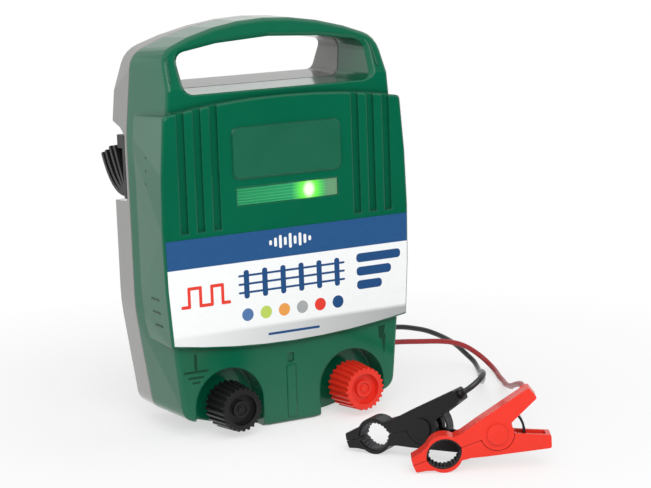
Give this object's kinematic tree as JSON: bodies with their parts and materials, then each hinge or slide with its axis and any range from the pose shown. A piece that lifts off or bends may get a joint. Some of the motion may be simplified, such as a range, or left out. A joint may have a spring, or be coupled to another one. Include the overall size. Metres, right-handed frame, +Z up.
{
  "type": "fence energizer",
  "caption": "Portable electric fence energizer: moulded green and grey case with carry handle, earth and fence terminal knobs, indicator window, and sprung battery clips on leads.",
  "frame": {"origin": "middle of the footprint of the casing at its base, leads and clips left out", "axes": "+X to the right as the front is seen, +Y to the back, +Z up"},
  "size_m": [0.2587, 0.2644, 0.2487],
  "materials": {
    "green_shell": "glossy moulding",
    "grey_shell": "satin moulding",
    "seal_rubber": "matt",
    "steel": "bright zinc",
    "window_green": "clear tinted",
    "lamp_lit": "lit lamp",
    "label_sheet": "printed film",
    "board": "lacquered board",
    "core_iron": "stacked sheet",
    "copper_wire": "enamelled wire",
    "capacitor_case": "sleeved can",
    "brass": "turned",
    "black_plastic": "fine grain moulding",
    "red_plastic": "moulding",
    "lead_black": "flexible cover",
    "lead_red": "flexible cover",
    "spring_steel": "blackened strip"
  },
  "bodies": {
    "energizer": {"front_cover": "green_shell", "rear_casing": "grey_shell", "casing_seal": "seal_rubber", "casing_screws": "steel", "indicator_window": "window_green", "indicator_lamp": "lamp_lit", "front_label": "label_sheet", "circuit_board": "board", "inner_screws": "steel", "transformer_core": "core_iron", "transformer_winding": "copper_wire", "storage_capacitor": "capacitor_case", "earth_stud": "steel", "fence_stud": "steel", "terminal_nuts": "steel", "left_cleat": "black_plastic", "right_cleat": "black_plastic", "cleat_screws": "steel", "switch_body": "black_plastic", "lead_grommets": "seal_rubber", "black_lead": "lead_black", "red_lead": "lead_red", "black_clip_lower": "black_plastic", "black_clip_pin": "black_plastic", "black_clip_spring": "spring_steel", "black_clip_teeth_lower": "steel", "red_clip_lower": "red_plastic", "red_clip_pin": "red_plastic", "red_clip_spring": "spring_steel", "red_clip_teeth_lower": "steel"},
    "earth_washer_body": {"earth_washer": "steel"},
    "earth_knob_body": {"earth_knob": "black_plastic", "earth_insert": "brass"},
    "fence_washer_body": {"fence_washer": "steel"},
    "fence_knob_body": {"fence_knob": "red_plastic", "fence_insert": "brass"},
    "rocker_body": {"switch_rocker": "black_plastic"},
    "black_clip_arm": {"black_clip_upper": "black_plastic", "black_clip_teeth_upper": "steel", "black_clip_sleeve": "black_plastic"},
    "red_clip_arm": {"red_clip_upper": "red_plastic", "red_clip_teeth_upper": "steel", "red_clip_sleeve": "red_plastic"}
  },
  "joints": [
    {"name": "earth_clamp_slide", "type": "slide", "parent": "energizer", "child": "earth_washer_body", "axis": [0, -1, 0], "range_m": [0, 0.00501]},
    {"name": "earth_knob_turn", "type": "hinge", "parent": "earth_washer_body", "child": "earth_knob_body", "pos_m": [-0.043, -0.03725, 0.0173], "axis": [0, -1, 0], "range_deg": [0, 1440]},
    {"name": "fence_clamp_slide", "type": "slide", "parent": "energizer", "child": "fence_washer_body", "axis": [0, -1, 0], "range_m": [0, 0.00501]},
    {"name": "fence_knob_turn", "type": "hinge", "parent": "fence_washer_body", "child": "fence_knob_body", "pos_m": [0.043, -0.03725, 0.0173], "axis": [0, -1, 0], "range_deg": [0, 1440]},
    {"name": "switch_rock", "type": "hinge", "parent": "energizer", "child": "rocker_body", "pos_m": [0.0808, 0.02475, 0.06], "axis": [0, 1, 0], "range_deg": [-18, 0]},
    {"name": "black_clip_squeeze", "type": "hinge", "parent": "energizer", "child": "black_clip_arm", "pos_m": [0.02264, -0.151, 0.01838], "axis": [0.8526, 0.5225, 0], "range_deg": [0, 28], "stiffness_Nm_per_rad": 0.25, "springref_deg": -14.32, "deforming": ["black_clip_spring", "black_lead"]},
    {"name": "red_clip_squeeze", "type": "hinge", "parent": "energizer", "child": "red_clip_arm", "pos_m": [0.04162, -0.19533, 0.02143], "axis": [0.5, 0.866, 0], "range_deg": [0, 28], "stiffness_Nm_per_rad": 0.25, "springref_deg": -14.32, "deforming": ["red_clip_spring", "red_lead"]}
  ],
  "couplings": [
    {"joint": "earth_clamp_slide", "follows": "earth_knob_turn", "m_per_rad": 0.00019894},
    {"joint": "fence_clamp_slide", "follows": "fence_knob_turn", "m_per_rad": 0.00019894}
  ]
}
